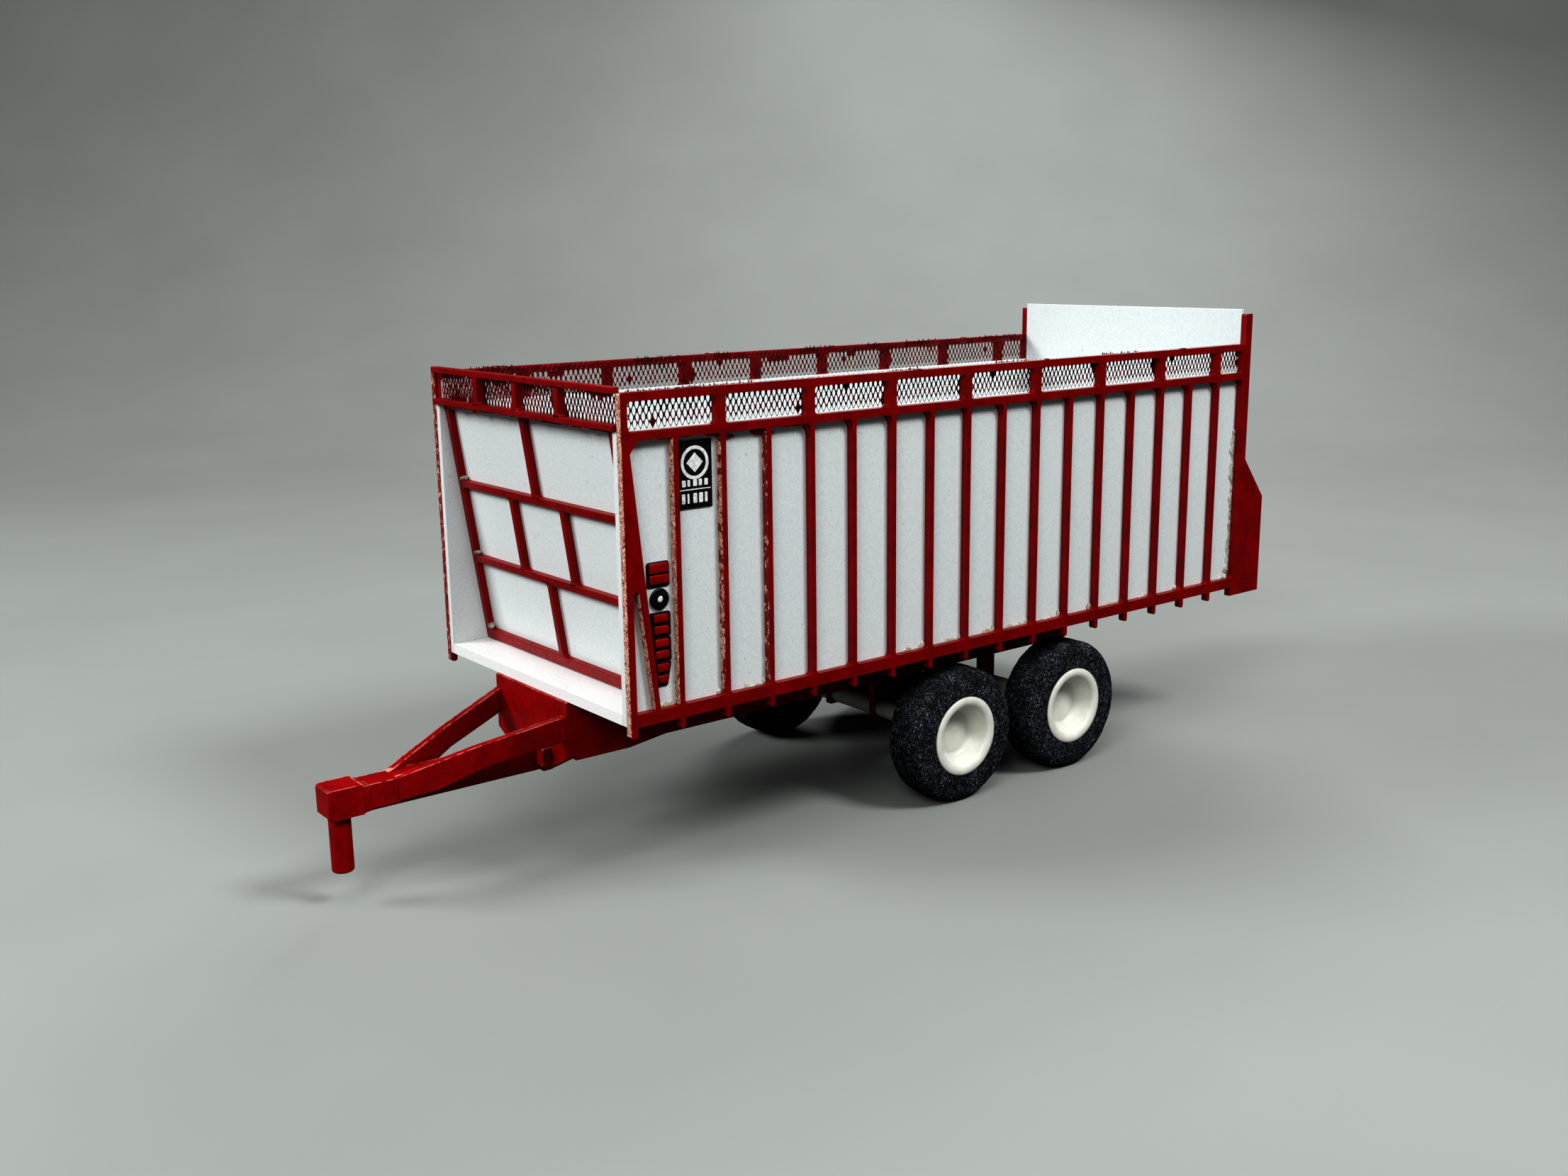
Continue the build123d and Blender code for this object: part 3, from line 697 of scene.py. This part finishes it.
def rough_tyre(place, side, seed):
    """Tyre with a fuzzy, slightly uneven skin, riding on its wheel."""
    node = "tyre_%s_%s" % (place, side)
    low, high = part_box(node)
    rim_low, rim_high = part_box("rim_%s_%s" % (place, side))
    middle = (low + high) / 2
    radius = (high.z - low.z) / 2
    bead = (rim_high.z - rim_low.z) / 2
    half_width = (high.x - low.x) / 2
    around, section_steps = 280, 64
    inset, lap = 0.06 * MM, 0.1 * MM
    profile = section_outline(half_width - inset, bead - lap, radius - inset, section_steps)
    inward = -1 if side == "right" else 1
    if inward > 0:
        profile.reverse()
    web_face = inward * (half_width - 0.3 * MM)
    rim_back = inward * (half_width - 1.2 * MM)
    profile += [Vector((web_face, reach * MM)) for reach in (4.6, 4.0, 3.4, 2.8, 2.2, 1.75)]
    profile += [Vector((rim_back, reach * MM)) for reach in (1.75, 3.0, 4.4)]
    core = (bead + radius) / 2
    shape = Shape()
    rings = []
    for cosine, sine in turns(around):
        outward = Vector((0, cosine, sine))
        ring = []
        for across, reach in profile:
            spot = middle + Vector((across, 0, 0)) + outward * reach
            away = (Vector((across, 0, 0)) + outward * (reach - core)).normalized()
            push = 0.06 * ripple(spot, 0.32 * MM, seed) + 0.04 * ripple(spot, 0.15 * MM, seed + 1)
            push += 0.05 * ripple(spot, 2.6 * MM, seed + 2)
            calm = min(1, abs(reach - bead + lap) / (0.5 * MM))
            ring.append(shape.point(spot + away * push * calm * MM))
        rings.append(ring)
    shape.join(*rings, rings[0])
    piece = shape.piece("rough_" + node, tyre_black, "black_tyre", "wheel_%s_%s" % (place, side))
    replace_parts(piece, node)


for number, place in enumerate(("front", "rear")):
    for side_name in SIDES:
        rough_tyre(place, side_name, number * 2 + len(side_name))


# ---- shaped bits ----
SIDEWAYS = ((0, 1, 0), (0, 0, 1))  # the long and upright directions of a blob on a side
DOWN = (0, 0, -1)


def lump(shape, middle, along, up, out, size, seed, taper=0.0):
    """Uneven blob of half length, half height and half thickness size, thinner at the far end by taper."""
    middle, along, up, out = Vector(middle), Vector(along), Vector(up), Vector(out)
    length, height, thick = size
    steps, sides, grain, uneven = 10, 14, 0.4 * MM, 0.35
    rings = []
    for step in range(steps + 1):
        share = -0.97 + 1.94 * step / steps
        swell = math.sqrt(1 - share * share) * (1 - taper * (share + 1) / 2)
        ring = []
        for cosine, sine in turns(sides):
            push = up * height * cosine + out * thick * sine
            spot = middle + along * length * share + push * swell
            ring.append(spot + push * swell * uneven * ripple(spot, grain, seed))
        rings.append(ring)
    shape.loft(rings)


def fringe(shape, start, end, down, out, size, grain, seed):
    """Bead along an edge that hangs down unevenly: size is its mean drop and half thickness."""
    start, end, down, out = Vector(start), Vector(end), Vector(down), Vector(out)
    drop, thick = size
    length = (end - start).length
    step_length, fade_length, tuck, sides = 0.1 * MM, 1.2 * MM, 0.12 * MM, 12
    count = max(10, int(length / step_length))
    rings = []
    for step in range(count + 1):
        share = (step + 0.05) / (count + 0.1)
        spot = start.lerp(end, share)
        fade = min(1, 2.5 * (share if share < 0.5 else 1 - share) * length / fade_length) ** 0.5
        uneven = 0.75 + 1.3 * ripple(spot, grain, seed) + 0.5 * ripple(spot, grain / 3, seed + 1)
        reach = drop * max(uneven, 0.15) * fade
        ring = []
        for hang, sine in turns(sides):
            hang *= reach if hang > 0 else tuck * fade
            ring.append(spot + down * hang + out * thick * fade * sine)
        rings.append(ring)
    shape.loft(rings)


def slab(shape, x, y, z, radius, bevel, narrow=0.0):
    """Side-facing plate with rounded corners from x[0] out to x[1], its foot narrowed by a share."""
    x_in, x_out = x
    outward = math.copysign(1, x_out - x_in)
    middle_y = (y[0] + y[1]) / 2
    rings = []
    levels = ((x_in, 0), (x_out - outward * bevel, 0), (x_out - outward * bevel * 0.3, 0.35), (x_out, 1))
    for level, share in levels:
        trim = bevel * share
        ring = []
        for side_y, side_z, cosine, sine in corner_turns():
            place_y = (y[1] if side_y > 0 else y[0]) - side_y * radius + (radius - trim) * cosine
            place_z = (z[1] if side_z > 0 else z[0]) - side_z * radius + (radius - trim) * sine
            foot_share = 1 - (place_z - z[0]) / (z[1] - z[0])
            ring.append((level, middle_y + (place_y - middle_y) * (1 - narrow * foot_share), place_z))
        rings.append(ring)
    shape.loft(rings)


def corner_fill(shape, x, y, z, reach_y, reach_z):
    """Concave paint fillet in a window corner, from the sheet x[0] out to x[1]."""
    rings = []
    steps, tuck = 8, 0.25 * MM
    outward = math.copysign(1, x[1] - x[0])
    tuck_y = math.copysign(tuck, -reach_y)
    tuck_z = math.copysign(tuck, -reach_z)
    for level, size in ((x[0], 1.12), (x[1] - outward * 0.12 * MM, 0.96), (x[1], 0.8)):
        ring = [(level, y + tuck_y, z + tuck_z)]
        for step in range(steps + 1):
            angle = math.radians(90 * step / steps)
            place_y = y + reach_y * size * (1 - math.sin(angle))
            place = Vector((level, place_y, z + reach_z * size * (1 - math.cos(angle))))
            place.y += 0.05 * MM * ripple(place, 0.5 * MM)
            ring.append(place)
        ring.insert(1, (level, y + reach_y * size, z + tuck_z))
        ring.append((level, y + tuck_y, z + reach_z * size))
        rings.append(ring)
    shape.loft(rings)


def side_bays(side):
    """Bays of a side frame, front to rear from the brace: start and end along the box, low and high edges."""
    node = "side_frame_" + side
    starts = upright_edges(node, 1, 8 * MM)
    ends = upright_edges(node, -1, 20 * MM)[1:]
    corners = (min(end["z"][0] for end in ends), max(end["z"][1] for end in ends))
    found = []
    for end in ends:
        ahead = [start for start in starts if start["y_head"] < end["y_head"] - 0.5 * MM]
        found.append({"y": (ahead[-1]["y_head"], end["y_head"]), "z": corners})
    return found


def outer_face(node):
    """Distance of a side node's outer face from the centreline."""
    return max(abs(corner.x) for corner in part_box(node))


SHEETS = {side: [outer_face(kind + side) for kind in ("side_liner_", "side_frame_")] for side in SIDES}


# ---- label plates and badges ----
def plate_marks(side, sign):
    """Generic white marks on the label plate: a ring round a lozenge, a rule and two rows of bars."""
    low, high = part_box("trim_plate_" + side)
    face = high.x if sign > 0 else low.x
    x = (face - sign * 0.02 * MM, face + sign * 0.035 * MM)
    middle_y, middle_z = (low.y + high.y) / 2, high.z - 2.35 * MM
    ring_inner, ring_outer = 1.42, 1.78
    shape = Shape()

    def mark(start, end, foot, head):
        """A bar given in millimetres from the plate's front lower corner."""
        y = (low.y + start * MM, low.y + end * MM)
        z = (low.z + foot * MM, low.z + head * MM)
        slab(shape, x, y, z, 0.08 * MM, 0.02 * MM)

    section = ((x[0], ring_inner), (x[1], ring_inner), (x[1], ring_outer), (x[0], ring_outer))
    rings = []
    for cosine, sine in turns(48):
        places = [(level, middle_y + r * MM * cosine, middle_z + r * MM * sine) for level, r in section]
        rings.append([shape.point(place) for place in places])
    shape.join(*rings, rings[0])
    lozenge = [(middle_y + 1.05 * MM * cosine, middle_z + 1.05 * MM * sine) for cosine, sine in turns(4)]
    shape.loft([[(level, *corner) for corner in lozenge] for level in x])
    mark(0.2, 4.2, 1.95, 2.07)
    for step, width in enumerate((0.5, 0.34, 0.5, 0.42, 0.46)):
        mark(0.5 + 0.72 * step, 0.5 + 0.72 * step + width, 2.35, 3.05)
    for step, width in enumerate((0.45, 0.24, 0.5, 0.5, 0.34)):
        mark(0.45 + 0.74 * step, 0.45 + 0.74 * step + width, 0.55, 1.6)
    shape.piece("plate_marks_" + side, print_white, "black_trim", smooth=False)


def badge(side, sign):
    """Stack of red lozenges on black backs, with a dark round disc second from the top."""
    node = "badge_blocks_" + side
    red, black, hub = Shape(), Shape(), Shape()
    boxes = loose_boxes(node)
    for number, (low, high) in enumerate(boxes):
        face, wall = (high.x, low.x) if sign > 0 else (low.x, high.x)
        middle = (low + high) / 2
        half_y, half_z = (high.y - low.y) / 2, (high.z - low.z) / 2
        if number == len(boxes) - 2:
            rings = []
            for depth, share in ((0, 0.96), (0.12, 1.0), (0.24, 0.97), (0.3, 0.86)):
                ring = []
                for step, (cosine, sine) in enumerate(turns(48)):
                    reach = half_z * 0.98 * share * (1 + 0.015 * math.sin(step * 2.4))
                    place_x = wall + sign * depth * MM
                    ring.append((place_x, middle.y + reach * cosine, middle.z + reach * sine))
                rings.append(ring)
            black.loft(rings)
            bead = (wall + sign * 0.28 * MM, middle.y, middle.z)
            lump(hub, bead, *SIDEWAYS, (1, 0, 0), (0.34 * MM, 0.34 * MM, 0.1 * MM), 4)
            continue
        back_y, back_z = half_y + 0.12 * MM, half_z + 0.17 * MM
        narrow = 0.45 if number == 0 else 0.0
        lean = 0.07 * MM
        x = (wall - sign * 0.02 * MM, wall + sign * 0.14 * MM)
        y = (middle.y - back_y - lean, middle.y + back_y)
        z = (middle.z - back_z - lean, middle.z + back_z - lean)
        slab(black, x, y, z, 0.3 * MM, 0.05 * MM, narrow)
        top = number == len(boxes) - 1
        gap = (0.09 if top else 0.2) * MM
        side_gap = (0.06 if top else 0.26) * MM
        x = (wall + sign * 0.05 * MM, face + sign * 0.04 * MM)
        y = (low.y + side_gap, high.y - side_gap)
        for foot, head in ((low.z + 0.14 * MM, middle.z - gap), (middle.z + gap, high.z - side_gap / 2)):
            taper = narrow if foot < middle.z - half_z / 2 else narrow / 3
            slab(red, x, y, (foot, head), 0.22 * MM, 0.09 * MM, taper)
    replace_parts(red.piece("badge_faces_" + side, badge_red, "red_trim"), node)
    black.piece("badge_backs_" + side, print_black, "black_trim")
    hub.piece("badge_hub_" + side, rim_ivory, "white_sheet")


# ---- paint and glue left by hand ----
# Each blob: bay, start or end of it, millimetres along and up from that upper corner, half length and
# half height in millimetres, and taper.
BAY_BLOBS = (
    (2, 0, 0.75, -0.62, 0.95, 0.3, 0.6),
    (2, 1, -0.75, -0.35, 0.85, 0.36, -0.4),
    (3, 0, 0.35, -0.7, 0.65, 0.2, 0.7),
    (1, 1, -0.7, -0.12, 0.9, 0.22, 0.0),
    (4, 0, 0.06, -0.75, 0.16, 0.4, 0.0),
    (0, 1, -0.8, -0.05, 0.7, 0.18, 0.0),
    (9, 0, 0.1, -0.6, 0.2, 0.5, 0.0),
    (12, 1, -0.1, -0.5, 0.2, 0.45, 0.0),
)
DRIP_BAYS = (1, 2, 3)
RAIL_LUMPS = ((8.9, 1.5), (7.4, 0.5), (41.0, 0.8), (63.0, 0.5), (90.0, 0.7))
BEAD_BAYS = (1, 2, 6, 7, 8, 9, 10, 11, 14)
SMEAR_BAYS = (0, 2, 6, 7, 8, 9, 10, 12, 13)


def bay_paint(side, sign):
    """Fillets of paint in the corners of the bays, with runs and blobs under the middle rail."""
    inner, outer = SHEETS[side]
    x = (sign * (inner - 0.02 * MM), sign * (outer - 0.07 * MM))
    chance = random.Random(len(side))
    bays = side_bays(side)
    shape = Shape()
    for number, bay in enumerate(bays):
        (start, end), (foot, head) = bay["y"], bay["z"]
        if number > 0:
            broad = chance.uniform(0.85, 1.25) if number > 2 else 0.5
            corner_fill(shape, x, end, head, -broad * MM, -broad * chance.uniform(0.8, 1.1) * MM)
            small = chance.uniform(0.45, 0.7) * MM
            corner_fill(shape, x, start, head, small, -small)
            corner_fill(shape, x, end, foot, -0.6 * small, 0.8 * small)
    wall = sign * inner
    out = (sign, 0, 0)
    for bay_number, at_end, along, up, half_length, half_height, taper in BAY_BLOBS:
        bay = bays[bay_number]
        middle = (wall + sign * 0.12 * MM, bay["y"][at_end] + along * MM, bay["z"][1] + up * MM)
        size = (half_length * MM, half_height * MM, 0.34 * MM)
        lump(shape, middle, *SIDEWAYS, out, size, bay_number + 1, taper)
    for number in DRIP_BAYS:
        top = bays[number]["z"][1] + 0.02 * MM
        first, last = [(wall + sign * 0.3 * MM, y, top) for y in bays[number]["y"]]
        fringe(shape, first, last, DOWN, out, (0.16 * MM, 0.3 * MM), 1.1 * MM, number)
    shape.piece("bay_paint_" + side, frame_red, "red_frame_board")


def top_paint(side, sign):
    """Cut strand ends and paint lumps along the top rail."""
    frame_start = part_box("side_frame_" + side)[0].y
    mesh_low, mesh_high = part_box("side_mesh_" + side)
    x = (mesh_low.x + mesh_high.x) / 2
    chance = random.Random(20 + len(side))
    shape = Shape()
    threshold = -0.03 if side == "left" else 0.15
    y = mesh_low.y + 0.3 * MM
    while y < mesh_high.y - 1 * MM:
        wanted = ripple((0, y, 0), 6 * MM, len(side)) + (0.8 if y < mesh_low.y + 2 * MM else 0)
        if wanted > threshold:
            tall = chance.uniform(0.2, 0.42) * MM
            lean = chance.uniform(-0.4, 0.4)
            middle = (x, y, mesh_high.z - 0.1 * MM + tall / 2)
            size = (tall, 0.11 * MM, 0.1 * MM)
            lump(shape, middle, (0, lean, 1), (0, 1, 0), (1, 0, 0), size, chance.random())
        y += chance.uniform(0.32, 0.42) * MM
    rail_x, rail_high = sign * (SHEETS[side][1] - 0.4 * MM), mesh_high.z + 0.2 * MM
    for along, half_length in RAIL_LUMPS:
        middle = (rail_x, frame_start + along * MM, rail_high)
        lump(shape, middle, *SIDEWAYS, (1, 0, 0), (half_length * MM, 0.16 * MM, 0.36 * MM), along)
    # painted shade: these strand ends and lumps use the darkened mesh red
    shape.piece("top_paint_" + side, shaded_mesh_red, "red_frame_board")


def front_paint():
    """Ragged paint under both rails of the front band."""
    low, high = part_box("front_band_frame")
    middle_y, back_y = (low.y + high.y) / 2, high.y - 0.25 * MM
    foot = low.z + 0.03 * MM
    beam = high.z - 0.68 * MM
    shape = Shape()
    low_runs = ((-17.2, -9.5, 0.34, 0.9), (-6.6, 1.5, 0.2, 1.2))
    low_runs += ((2.5, 6.5, 0.32, 0.9), (9.5, 15.5, 0.26, 0.8))
    high_runs = ((-19.0, -15.5, 0.5), (14.2, 19.6, 0.75), (-7.0, -2.5, 0.2))
    for number, (start, end, drop, grain) in enumerate(low_runs):
        first, last = (start * MM, middle_y, foot), (end * MM, middle_y, foot)
        fringe(shape, first, last, DOWN, (0, 1, 0), (drop * MM, 0.4 * MM), grain * MM, number + 3)
    for number, (start, end, drop) in enumerate(high_runs):
        first, last = (start * MM, back_y, beam), (end * MM, back_y, beam)
        fringe(shape, first, last, DOWN, (0, 1, 0), (drop * MM, 0.2 * MM), 1.3 * MM, number + 11)
    shape.piece("front_paint", frame_red, "red_frame_board")


def drawbar_paint():
    """Paint built up behind the hitch block and round the head of the hitch pin."""
    block_low, block_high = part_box("hitch_block")
    beam_low, beam_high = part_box("drawbar_beam")
    pin_low, pin_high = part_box("hitch_pin")
    middle_y = (pin_low.y + pin_high.y) / 2
    pin_radius = (pin_high.y - pin_low.y) / 2
    steps, skin_mm, radius = 6, 0.012, 0.3 * MM
    shape = Shape()
    neck_rings, collar_rings = [], []
    for step in range(steps + 1):
        swell = (1 - step / steps) ** 2
        half = beam_high.x + (block_high.x - beam_high.x) * swell + skin_mm * MM
        foot = beam_low.z + (block_low.z - beam_low.z) * swell - skin_mm * MM
        head = beam_high.z + (block_high.z - beam_high.z) * swell + skin_mm * MM
        y = block_high.y + (0.9 * step / steps - 0.1) * MM
        ring = []
        for side_x, side_z, cosine, sine in corner_turns():
            core_z = head - radius if side_z > 0 else foot + radius
            ring.append(((half - radius) * side_x + radius * cosine, y, core_z + radius * sine))
        neck_rings.append(ring)
        z = block_low.z + (0.05 - 0.55 * step / steps) * MM
        ring = []
        for cosine, sine in turns(40):
            reach = pin_radius + (skin_mm + 0.4 * swell * (1 + 0.6 * sine * cosine)) * MM
            ring.append((reach * cosine, middle_y + reach * sine, z))
        collar_rings.append(ring)
    shape.loft(neck_rings)
    shape.loft(collar_rings)
    shape.piece("drawbar_paint", chassis_red, "red_chassis")


def front_glue():
    """Small clear beads at the left ends of the lattice's level bars."""
    low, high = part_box("front_lattice")
    rake = 0.1386  # run of the raked wall for each unit of height
    shape = Shape()
    for share, size in ((0.675, 0.34), (0.36, 0.28), (0.04, 0.4)):
        z = low.z + (high.z - low.z) * share
        face = low.y + (high.z - z) * rake
        middle = (low.x + 1.3 * MM, face + 0.15 * MM, z + 0.5 * MM)
        sizes = (size * 1.3 * MM, size * MM, 0.5 * MM)
        lump(shape, middle, (1, 0, 0), (0, 0, 1), (0, -1, 0), sizes, share * 9)
    shape.piece("front_glue", glue_clear, "white_sheet")


def side_glue(side, sign):
    """Beads and smears of dried glue along the bottom rail, and up beside the rear post."""
    chance = random.Random(7 + len(side))
    beads, smears = Shape(), Shape()
    bays = side_bays(side)
    wall = sign * (SHEETS[side][0] + 0.03 * MM)
    up, out = (0, 0, 1), (sign, 0, 0)
    for number, bay in enumerate(bays):
        (start, end), (foot, head) = bay["y"], bay["z"]
        if number in BEAD_BAYS:
            size = (chance.uniform(0.25, 0.45) * MM, chance.uniform(0.3, 0.6) * MM, 0.26 * MM)
            middle = (wall, end - 0.28 * MM, foot + size[1] * 0.7)
            lump(beads, middle, *SIDEWAYS, out, size, number)
        if number in SMEAR_BAYS:
            first = (wall, end - (end - start) * chance.uniform(0.4, 1.0), foot)
            drop = chance.uniform(0.25, 0.55) * MM
            fringe(beads, first, (wall, end, foot), up, out, (drop, 0.16 * MM), 1.4 * MM, number)
    (start, end), (foot, head) = bays[-1]["y"], bays[-1]["z"]
    first, last = (wall, end, foot + 0.6 * MM), (wall, end, head - 7 * MM)
    fringe(smears, first, last, (0, -1, 0), out, (0.85 * MM, 0.2 * MM), 3 * MM, 2)
    first, last = (wall, start + 0.5 * MM, foot), (wall, end, foot)
    fringe(smears, first, last, up, out, (0.7 * MM, 0.2 * MM), 1.6 * MM, 5)
    beads.piece("glue_beads_" + side, glue_clear, "white_sheet")
    smears.piece("glue_smears_" + side, glue_clear, "white_sheet")


for side_name, sign in SIDES.items():
    plate_marks(side_name, sign)
    badge(side_name, sign)
    bay_paint(side_name, sign)
    top_paint(side_name, sign)
    side_glue(side_name, sign)
front_paint()
front_glue()
drawbar_paint()


# ---- stage, lights and camera ----
LIGHT_DISTANCE = 0.6
LIGHTS = {  # direction, size in metres, watts
    "right_light": ((0.8, 0.3, 0.95), 0.16, 2.1),
    "left_light": ((-0.5, -0.9, 0.6), 0.2, 2.1),
    "front_light": ((0.6, -0.85, 0.7), 0.24, 1.3),
    "top_light": ((0.25, -0.2, 1.0), 0.4, 1.0),
    "back_light": ((-0.6, 0.8, 0.7), 0.3, 1.2),
}
LENS_MM = 34.94
CAMERA_PLACE = (0.15078, -0.12338, 0.06878)
CAMERA_AIM = (-0.76734, 0.60351, -0.21673)
CAMERA_ROLL = -0.737  # degrees
WORLD_LIGHT, WORLD_SEEN = 0.03, 0.3


def make_floor():
    """Plain floor that sweeps up behind the object."""
    near, far, height, radius, half_width, steps = -0.9, 0.62, 1.4, 0.35, 1.6, 16
    away = Vector((-0.77, 0.6, 0)).normalized()
    across = Vector((away.y, -away.x, 0))
    profile = [(near, 0.0), (far - radius, 0.0)]
    for step in range(1, steps + 1):
        angle = math.radians(90 * step / steps)
        profile.append((far - radius + radius * math.sin(angle), radius * (1 - math.cos(angle))))
    profile.append((far, height))
    mesh = bpy.data.meshes.new("studio_floor")
    points = []
    for along, up in profile:
        for side in (-half_width, half_width):
            points.append(away * along + across * side + Vector((0, 0, up)))
    faces = [(2 * i, 2 * i + 1, 2 * i + 3, 2 * i + 2) for i in range(len(profile) - 1)]
    mesh.from_pydata(points, [], faces)
    mesh.shade_smooth()
    mesh.materials.append(plain_floor("studio_floor"))
    put("studio_floor", mesh)


def make_light(name, direction, size, watts):
    """Square area light in a direction from the object, facing it."""
    data = bpy.data.lights.new(name, "AREA")
    data.size = size
    data.energy = watts
    light = put(name, data)
    outward = Vector(direction).normalized()
    light.location = (cad_low + cad_high) / 2 + outward * LIGHT_DISTANCE
    light.rotation_mode = "QUATERNION"
    light.rotation_quaternion = (-outward).to_track_quat("-Z", "Y")


def make_camera():
    """Camera at the photograph's viewing angle."""
    data = bpy.data.cameras.new("camera")
    data.sensor_width = 36
    data.lens = LENS_MM
    data.clip_start = 0.005
    data.clip_end = 20
    camera = put("camera", data)
    camera.location = CAMERA_PLACE
    look = Vector(CAMERA_AIM)
    roll = Matrix.Rotation(math.radians(CAMERA_ROLL), 4, -look)
    level = look.to_track_quat("-Z", "Y").to_matrix().to_4x4()
    camera.rotation_mode = "QUATERNION"
    camera.rotation_quaternion = (roll @ level).to_quaternion()
    bpy.context.scene.camera = camera


def make_world():
    """Even grey surroundings that look pale but give only a faint light."""
    world = bpy.data.worlds.new("surroundings")
    world.use_nodes = True
    tree = world.node_tree
    glow = tree.nodes["Background"]
    glow.inputs["Color"].default_value = (0.9, 0.95, 1.0, 1)
    seen = tree.nodes.new("ShaderNodeLightPath").outputs["Is Camera Ray"]
    strength = tree.nodes.new("ShaderNodeMapRange")
    strength.inputs["To Min"].default_value = WORLD_LIGHT
    strength.inputs["To Max"].default_value = WORLD_SEEN
    tree.links.new(seen, strength.inputs["Value"])
    tree.links.new(strength.outputs["Result"], glow.inputs["Strength"])
    bpy.context.scene.world = world
    bpy.context.scene.view_settings.view_transform = "Standard"
    bpy.context.scene.view_settings.look = "High Contrast"


make_floor()
for light_name, (direction, size, watts) in LIGHTS.items():
    make_light(light_name, direction, size, watts)
make_camera()
make_world()
